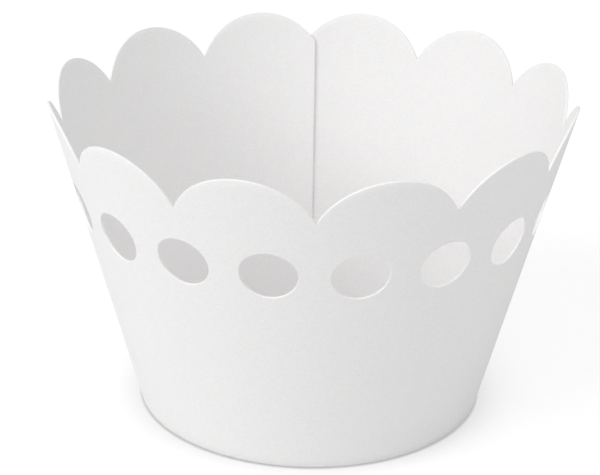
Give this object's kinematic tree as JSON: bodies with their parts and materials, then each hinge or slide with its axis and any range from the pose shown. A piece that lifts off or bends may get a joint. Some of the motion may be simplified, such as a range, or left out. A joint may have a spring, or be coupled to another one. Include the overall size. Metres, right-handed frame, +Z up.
{
  "type": "cupcake wrapper",
  "caption": "Open tapered sleeve of white card with a scalloped top edge and oval holes round its front, to slip round a baked cupcake.",
  "frame": {"origin": "centre of the round bottom edge, on the surface that the wrapper stands on", "axes": "+Z up along the cone's axis, -Y to the front, +Y to the glued seam"},
  "size_m": [0.0736, 0.0739, 0.0468],
  "materials": {
    "white_card": "smooth matte white card, cut edges bare"
  },
  "bodies": {
    "root": {"wrapper": "white_card"}
  },
  "joints": []
}
